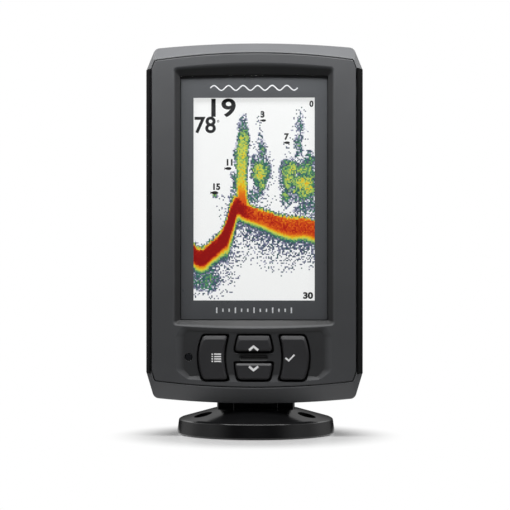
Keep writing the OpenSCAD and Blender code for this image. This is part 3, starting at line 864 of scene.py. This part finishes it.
def sonar_picture():
    """A lit display with a generic sonar trace, worked out from formulas at every dot.

    u runs across the picture and v up it, both from 0 to 1. echo is the strength of the return,
    which the palette turns into colour, as such an instrument does."""
    material, tree, shader = blank_material("screen_picture")
    (x, _, z), _ = object_point(tree)
    dot = 0.58
    column, row = (x / dot).floor(), (z / dot).floor()
    x, z = (column + 0.5) * dot, (row + 0.5) * dot
    u = (x + VIEW_HALF_W) / (2 * VIEW_HALF_W)
    v = (z - (LIFT / MM + VIEW_LOW)) / (VIEW_HIGH - VIEW_LOW)
    flat = vector(tree, x * MM, z * MM, 0)
    drift = noise(tree, flat, 7, 3) - 0.5
    cloud = noise(tree, flat, 3.2, 3) - 0.5
    grit = random_dot(tree, column, row, 1) - 0.5
    chance = random_dot(tree, column, row, 2)

    def blob(at_u, at_v, wide, tall, strength):
        """A soft patch of echo."""
        du = (u - at_u + drift * 0.09 + cloud * 0.03) / wide
        dv = (v - at_v + drift * 0.09) / tall
        return (-(du * du + dv * dv) + 1).above(0) * strength

    def highest(patches):
        top = blob(*patches[0])
        for patch in patches[1:]:
            top = top.above(blob(*patch))
        return top

    ground = u.curve([(0, 0.275), (0.06, 0.255), (0.14, 0.288), (0.22, 0.335), (0.27, 0.395),
                      (0.31, 0.475), (0.355, 0.515), (0.41, 0.487), (0.5, 0.459), (0.65, 0.430),
                      (0.8, 0.405), (0.9, 0.407), (1, 0.392)])
    stretch = u.curve([(0, 0.58), (0.1, 0.56), (0.2, 0.56), (0.25, 0.46), (0.305, 0.34), (0.36, 0.55),
                       (0.42, 0.69), (0.5, 0.74), (0.7, 0.65), (1, 0.62)])
    leftness = -u.step_between(0.38, 0.50) + 1
    below = (ground - v + drift * 0.012 + grit * 0.008) * (stretch * 2)
    band = (below * 2 + 0.12).curve([
        (0, 0), (0.06, 0.10), (0.10, 0.40), (0.125, 0.72), (0.16, 0.93), (0.29, 0.95), (0.33, 0.78),
        (0.36, 0.62), (0.385, 0.45), (0.42, 0.28), (0.47, 0.12), (0.60, 0.04), (1, 0)])
    band = band + band.step_between(0.8, 0.95) * (leftness * 0.14 - 0.07 + cloud * 0.12 + grit * 0.10)

    plume_u = v.curve([(0, 0.41), (0.48, 0.405), (0.60, 0.393), (0.75, 0.405), (1, 0.41)])
    plume_w = v.curve([(0, 0.07), (0.50, 0.06), (0.56, 0.054), (0.80, 0.058), (0.87, 0.05), (1, 0.03)])
    plume_high = v.curve([(0, 0.9), (0.50, 0.84), (0.56, 0.72), (0.62, 0.61), (0.80, 0.53), (0.84, 0.36),
                          (0.91, 0.20), (0.95, 0), (1, 0)])
    off = (u - plume_u + drift * 0.03) / plume_w
    plume = (-(off * off) + 1.2).above(0).below(1) * plume_high * v.step_between(0.42, 0.48)

    bushes = highest([
        (0.55, 0.62, 0.09, 0.13, 0.60), (0.56, 0.74, 0.05, 0.12, 0.34), (0.50, 0.67, 0.06, 0.08, 0.34),
        (0.60, 0.64, 0.05, 0.10, 0.36), (0.39, 0.70, 0.075, 0.20, 0.36), (0.34, 0.56, 0.06, 0.12, 0.30),
        (0.79, 0.62, 0.11, 0.11, 0.56), (0.92, 0.58, 0.15, 0.14, 0.60), (0.76, 0.52, 0.08, 0.08, 0.38),
        (0.95, 0.66, 0.07, 0.10, 0.46), (0.87, 0.76, 0.05, 0.09, 0.36), (0.89, 0.87, 0.05, 0.08, 0.28),
        (0.93, 0.45, 0.14, 0.07, 0.30), (0.10, 0.10, 0.16, 0.09, 0.38), (0.50, 0.52, 0.10, 0.05, 0.28),
        (0.17, 0.515, 0.035, 0.018, 0.40), (0.42, 0.87, 0.04, 0.07, 0.24),
    ])
    scatter = highest([
        (0.70, 0.27, 0.36, 0.16, 0.34), (0.14, 0.12, 0.26, 0.13, 0.50), (0.30, 0.24, 0.16, 0.14, 0.50),
        (0.55, 0.50, 0.16, 0.06, 0.32), (0.55, 0.62, 0.13, 0.20, 0.25), (0.86, 0.55, 0.20, 0.18, 0.25),
        (0.88, 0.84, 0.08, 0.14, 0.22), (0.55, 0.84, 0.05, 0.10, 0.20), (0.41, 0.88, 0.06, 0.08, 0.22),
        (0.28, 0.45, 0.10, 0.12, 0.22), (0.80, 0.72, 0.09, 0.10, 0.12),
    ])
    under = (ground - v).step_between(0.02, 0.08) * (-(ground - v).step_between(0.11, 0.27) + 1)
    scatter = scatter.above(under * 0.85)
    dots = (chance + scatter - 1).step_between(0, 0.02) * (grit * 0.12 + 0.26)
    echo = band.above(plume).above(bushes * (cloud * 1.6 + 0.95))
    soft = echo.step_between(0.08, 0.2) * (-echo.step_between(0.55, 0.8) + 1)
    echo = echo + grit * (soft * 0.26 + 0.02)
    echo = echo.above(dots)
    palette = [
        (0.00, linear(251, 251, 249)), (0.13, linear(250, 250, 250)), (0.18, linear(186, 188, 208)),
        (0.24, linear(96, 98, 128)), (0.29, linear(58, 78, 92)), (0.35, linear(48, 112, 98)),
        (0.43, linear(92, 152, 98)), (0.50, linear(152, 188, 98)), (0.58, linear(198, 212, 92)),
        (0.67, linear(228, 204, 40)), (0.76, linear(234, 146, 24)), (0.85, linear(218, 84, 18)),
        (0.93, linear(182, 32, 10)), (1.0, linear(146, 10, 8)),
    ]
    unlit = [(place, [c * 0.2 for c in colour[:3]] + [1]) for place, colour in palette]
    feed(tree, shader, {
        "Base Color": echo.ramp(unlit),
        "Emission Color": echo.ramp(palette),
        "Emission Strength": 0.88,
        "Roughness": 0.35,
    })
    return material


PICTURE_DEPTH = head_box("lcd_glass")[0][2]
INK_FRONT, INK_BACK = PICTURE_DEPTH - 0.03, PICTURE_DEPTH - 0.01


def picture_spot(u, v):
    return -VIEW_HALF_W + 2 * VIEW_HALF_W * u, VIEW_LOW + (VIEW_HIGH - VIEW_LOW) * v


def screen_number(name, text, u, v, height, bold, squeeze=1.0):
    """Digits on the picture, set from their lower left corner. height is the height of a digit in mm."""
    x, z = picture_spot(u, v)
    digit_share = 0.70          # height of a digit as a share of the font's size
    curve = bpy.data.curves.new(name, "FONT")
    curve.body = text
    curve.size = height / digit_share * MM
    curve.offset = bold * MM
    curve.extrude = 0.008 * MM
    shape = placed(name, curve)
    mesh = final_mesh(shape)
    bpy.data.objects.remove(shape)
    for vertex in mesh.vertices:
        a, b, c = vertex.co / MM
        vertex.co = in_head(x + a * squeeze, z + b, INK_FRONT - c)
    finish_piece(placed(name, mesh), INK, "head")


def fish_outline(x, z, size):
    """A fish seen from the side, with its tail to the left."""
    body = arc((0, 0), 1, 155, -155, 16)
    tail = [Vector((-1.45, -0.75)), Vector((-1.3, 0)), Vector((-1.45, 0.75))]
    return [(x + size * p.x, z + size * 0.5 * p.y) for p in body + tail]


def screen_numbers():
    screen_number("depth_reading", "19", 0.100, 0.9105, 8.0, 0.27, 1.22)
    screen_number("temperature_reading", "78", 0.001, 0.830, 7.2, 0.22, 0.99)
    at = (-16.6, VIEW_LOW + 82.2)
    degree = prism("degree_mark", circle(0.55, 20, at), INK_FRONT, INK_BACK, in_head)
    cut(degree, rod(0.28, INK_FRONT - 1, INK_BACK + 1, at, steps=20))
    finish_piece(degree, INK, "head")
    screen_number("range_top", "0", 0.957, 0.957, 2.6, 0.16, 0.95)
    screen_number("range_bottom", "30", 0.903, 0.010, 2.7, 0.19, 1.18)
    for digits, u, v, size in (
        ("11", 0.262, 0.668, 1.0), ("15", 0.150, 0.548, 1.15), ("3", 0.552, 0.905, 0.85),
        ("7", 0.748, 0.795, 0.9),
    ):
        x, z = picture_spot(u, v)
        screen_number("mark_" + digits, digits, u, v, 2.7, 0.19)
        body = fish_outline(x + 1.4, z - 1.5, 1.35 * size)
        fish = solid("fish_" + digits, [[in_head(a, b, d) for a, b in body] for d in (INK_FRONT, INK_BACK)])
        finish_piece(fish, INK, "head")


screen_numbers()


def border_marks():
    """Generic printed marks on the border: a wave line over the picture and a short scale under it."""
    depth = WINDOW_BACK - 0.02
    wave = [(-20 + 40 * i / 96, 144.2 + 1.1 * math.sin(2 * math.pi * 6 * i / 96)) for i in range(97)]
    stroke("wave_mark", wave, 0.55, "head", depth, 0.03)
    for i in range(13):
        tall = 1.3 if i % 3 == 0 else 0.75
        x = (i - 6) * 2.85
        stroke(f"scale_mark_{i}", [(x, 42.4 - tall), (x, 42.4 + tall)], 0.62, "head", depth, 0.03)


border_marks()

# ---------- base, yoke and knob ----------

BASE_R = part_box("mount_base")[1].x / MM
TURNTABLE_R = 20.0
TURNTABLE_Z = 8.6
BASE_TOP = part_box("mount_base")[1].z / MM
FLOOR_Z = 5.6
PAD_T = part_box("base_pad")[1].z / MM
JOURNAL_R = 6
SCREW_AT = [(x, y) for x in (-24, 24) for y in (-13.5, 13.5)]
SCREW_HOLE_R = 2.3
SCREW_HEAD_R = 4.2
STOP_R = 15               # the swivel's stop pin runs in a half ring of this radius
ABOVE = 15                # a height that is clear of the base, where cutters end


def drum(name, profile, steps=96, centre=(0, 0)):
    """A round solid from a profile of (radius, z, corner radius), bottom to top."""
    widest = max(r for r, _, _ in profile)
    path = [(widest - r, z, corner) for r, z, corner in profile]
    return sweep(name, circle(widest, steps, centre), path, upright)


def disc(radius, low, high, steps=96, centre=(0, 0)):
    """A plain round cutter or boss that stands upright."""
    return prism("disc", circle(radius, steps, centre), low, high, upright)


def mount_base():
    base = drum("base_plate", [
        (BASE_R - 1, 0.5, 0), (BASE_R, 0.5, 0.35), (BASE_R - 0.95, 6.9, 0.9), (BASE_R - 2.2, 7.55, 1.5),
        (TURNTABLE_R + 0.2, BASE_TOP, 0.35), (TURNTABLE_R - 1, BASE_TOP, 0)], steps=160)
    cut(base, disc(BASE_R - 1.9, -1, PAD_T + 0.05))
    cut(base, drum("hollow", [(BASE_R - 3.6, 1, 0), (BASE_R - 4.2, 4.5, 0), (TURNTABLE_R + 1, FLOOR_Z, 0)]))
    for turn in range(4):
        angle = math.pi * turn / 4
        corners = [(s * (BASE_R - 4), t) for s, t in ((1, 0.9), (-1, 0.9), (-1, -0.9), (1, -0.9))]
        ring = [Matrix.Rotation(angle, 2) @ Vector(corner) for corner in corners]
        add(base, prism("rib", ring, PAD_T + 0.05, FLOOR_Z + 0.2, upright))
    for at in SCREW_AT:
        add(base, disc(6.2, PAD_T + 0.05, 7.2, 48, at))
    cut(base, disc(11, 0, FLOOR_Z))
    cut(base, disc(TURNTABLE_R + 0.15, TURNTABLE_Z - 0.05, ABOVE))
    cut(base, disc(JOURNAL_R + 0.08, 0, ABOVE, 64))
    half = 1.6
    groove = arc((0, 0), STOP_R + half, 0, 180, 24) + arc((-STOP_R, 0), half, 180, 360, 8)[1:-1]
    groove += arc((0, 0), STOP_R - half, 180, 0, 24) + arc((STOP_R, 0), half, 180, 360, 8)[1:-1]
    cut(base, prism("groove", groove, 6.7, 9, upright))
    for at in SCREW_AT:
        cut(base, disc(SCREW_HOLE_R, 0, ABOVE, 40, at))
        cut(base, disc(SCREW_HEAD_R, 6, ABOVE, 48, at))
    finish_piece(base, GLOSS_BLACK, "base", "mount_base", angle=24)


mount_base()

AXIS = (20, 50)


def yoke():
    table = drum("yoke", [
        (JOURNAL_R - 1, 4.6, 0), (JOURNAL_R, 4.6, 0.3), (JOURNAL_R, TURNTABLE_Z, 0),
        (TURNTABLE_R, TURNTABLE_Z, 0.2), (TURNTABLE_R, BASE_TOP, 0.6), (TURNTABLE_R - 2, BASE_TOP, 0),
    ], steps=128)
    arm = lever_ring([(8, 10.6), (-6, 10.6)], AXIS, 9)
    for side in (-1, 1):
        inner, outer = side * ARM_IN, side * ARM_OUT
        profile = [(1.0, inner, 0), (0, inner, 1.0), (0, outer, 1.3), (1.3, outer, 0)]
        add(table, sweep("arm", arm, profile, across))
    web = rounded([(5, BASE_TOP - 0.5, 0), (9, BASE_TOP - 0.5, 0), (15, 29, 1), (11.5, 29, 1)])
    add(table, prism("web", web, -ARM_IN - 0.6, ARM_IN + 0.6, across))
    add(table, disc(1.5, 6.9, 9, 24, (0, STOP_R)))
    cut(table, disc(3.8, 3, BASE_TOP - 1.2, 48))
    cut(table, prism("bolt_bore", circle(BOLT_BORE, 32, AXIS), -25, 25, across))
    hexagon = arc(AXIS, 4.7, 90, -210, 5)
    cut(table, prism("bolt_head", hexagon, -25, 2.2 - ARM_OUT, across))
    finish_piece(table, GLOSS_BLACK, "yoke", "swivel_yoke", angle=24)


yoke()

KNOB_LOW, KNOB_HIGH = [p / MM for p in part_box("tilt_knob")]


def knob():
    """Tilt knob with eight finger grooves, a soft front edge and a dished cap."""
    lobes, groove = 8, 1.4
    radius = (KNOB_HIGH.y - KNOB_LOW.y) / 2

    def lobed(size, share=1):
        ring = []
        for i in range(160):
            angle = 2 * math.pi * i / 160
            reach = size - groove * share * max(0.0, -math.cos(lobes * angle)) ** 2
            ring.append(Vector((AXIS[0] + reach * math.cos(angle), AXIS[1] + reach * math.sin(angle))))
        return ring

    x0, x1 = KNOB_LOW.x, KNOB_HIGH.x
    grip_knob = loft("knob_grip", [
        (lobed(radius - 1.4, 0), x0, 0),
        (lobed(radius - 0.3, 0.2), x0, 0.5),
        (lobed(radius), x0 + 1.6, 1.2),
        (lobed(radius), x1 - 2, 1.5),
        (lobed(radius - 1.7, 0.6), x1, 1.2),
        (lobed(radius - 3.4, 0.2), x1, 0),
    ], across)
    cut(grip_knob, prism("bore", circle(4.5, 48, AXIS), x0 - 1, x0 + 10, across))
    dish = [(-0.5, x1 + 0.5, 0), (0, x1 - 0.1, 0.1), (0.3, x1 - 1, 0.3), (1.5, x1 - 1, 0)]
    cut(grip_knob, sweep("dish", circle(8, 64, AXIS), dish, across))
    finish_piece(grip_knob, SATIN_BLACK, "knob", "tilt_knob")


knob()

# ---------- carried-over nodes ----------

for node, material, bevel in (
    ("base_pad", PAD_RUBBER, 0.25), ("swivel_insert", BRASS, 0.1), ("swivel_screw", STEEL, 0.2),
    ("swivel_washer", STEEL, 0.15), ("swivel_spring", STEEL, 0.1), ("tilt_bolt", STEEL, 0.25),
    ("friction_washers", SEAL_RUBBER, 0.15), ("knob_washer", STEEL, 0.15), ("knob_insert", BRASS, 0.15),
    ("housing_seal", SEAL_RUBBER, 0), ("housing_screws", STEEL, 0.12), ("window_mask", BORDER, 0),
    ("window_gasket", SEAL_RUBBER, 0), ("lcd_glass", sonar_picture(), 0),
    ("lcd_backlight", WHITE_PLASTIC, 0.2), ("lcd_frame", STEEL, 0.1), ("lcd_flex", FILM, 0),
    ("main_board", LAMINATE, 0.1), ("board_chips", RESIN, 0.15), ("board_capacitors", CAN, 0.3),
    ("sonar_transformer", FERRITE, 0.3), ("beeper", RESIN, 0.3), ("board_screws", STEEL, 0.12),
    ("key_switches", STEEL, 0.1), ("status_light", LENS, 0.15), ("power_socket", SATIN_BLACK, 0.3),
    ("sonar_socket", SATIN_BLACK, 0.3),
    ("socket_nuts", STEEL, 0.2), ("socket_seals", SEAL_RUBBER, 0.1), ("socket_pins", BRASS, 0.15),
):
    dress(node, material, bevel)

# ---------- floor, light and camera ----------


def floor_white():
    """White acrylic near the object, fading to plain white further out. Only the near part throws light
    back, and the floor doesn't show from below."""
    material, tree, shader = blank_material("floor_white")
    feed(tree, shader, {
        "Base Color": (0.86, 0.86, 0.86, 1),
        "Roughness": 0.16,
        "Emission Color": (1, 1, 1, 1),
        "Emission Strength": 0.08,
    })
    (x, y, _), _ = object_point(tree)
    ahead = y + 14
    reach = (x * x + ahead * ahead).power(0.5)
    seen = mixed(tree, reach.step_between(38, 70), shader, new_node(tree, "Emission"))
    glow = new_node(tree, "Emission", {"Strength": -reach.step_between(45, 110) * 0.63 + 0.65})
    lit = mixed(tree, new_node(tree, "LightPath").outputs["Is Camera Ray"], glow, seen)
    from_below = new_node(tree, "NewGeometry").outputs["Backfacing"]
    one_sided = mixed(tree, from_below, lit, new_node(tree, "BsdfTransparent"))
    feed(tree, tree.nodes["Material Output"], {"Surface": one_sided})
    return material


def floor():
    mesh = bpy.data.meshes.new("floor")
    half = 5
    corners = [(-half, -half, 0), (half, -half, 0), (half, half, 0), (-half, half, 0)]
    mesh.from_pydata(corners, [], [(0, 1, 2, 3)])
    mesh.materials.append(floor_white())
    placed("floor", mesh)


def surroundings():
    """White for the camera. Things are lit by a softer room: bright behind and above, dim in front."""
    world = bpy.data.worlds.new("studio")
    bpy.context.scene.world = world
    world.use_nodes = True
    tree = world.node_tree
    x, y, z = parts_of(tree, new_node(tree, "TexCoord").outputs["Generated"])
    off_middle = (x * x).step_between(0.05, 0.4) * 1.5 + 0.45
    behind = y.step_between(-0.1, 0.45) * (z.step_between(0.05, 0.6) * 0.9 + 0.1) * off_middle
    top = z.step_between(0.3, 1)
    front = (-(x * x)).step_between(-0.15, 0) * (-y).step_between(0.3, 0.9)
    side = (x * x).step_between(0.2, 0.9) * z.step_between(-0.2, 0.5)
    room = behind * 1.1 + side * 0.9 + top * 0.1 + front * 0.04 + 0.01
    lamp = feed(tree, tree.nodes["Background"], {"Color": vector(tree, room, room, room), "Strength": 1})
    white = new_node(tree, "Background", {"Color": (1, 1, 1, 1)})
    seen = new_node(tree, "LightPath").outputs["Is Camera Ray"]
    feed(tree, tree.nodes["World Output"], {"Surface": mixed(tree, seen, lamp, white)})


def top_light():
    """A wide softbox over the head, a little in front of it."""
    light = bpy.data.lights.new("top_light", "AREA")
    light.shape = "RECTANGLE"
    light.size, light.size_y = 0.5, 0.1
    light.energy = 1.45
    lamp = placed("top_light", light)
    lamp.location = (0, -0.15, 0.31)
    aim = Vector((0, 0, 0.1))
    lamp.rotation_euler = (aim - lamp.location).to_track_quat("-Z", "Y").to_euler()
    lamp.visible_camera = False


def camera():
    """Stands level with the head's middle, a little to the right of straight in front."""
    distance, azimuth = 0.9, math.radians(2.27)
    target = Vector((-0.45 * MM, 0, 83.5 * MM))
    data = bpy.data.cameras.new("camera")
    data.sensor_width = 36
    data.lens = 135.3
    eye = placed("camera", data)
    eye.location = target + Vector((math.sin(azimuth), -math.cos(azimuth), 0)) * distance
    eye.rotation_euler = (math.pi / 2, 0, azimuth)
    bpy.context.scene.camera = eye


floor()
surroundings()
top_light()
camera()
bpy.context.scene.view_settings.view_transform = "Standard"
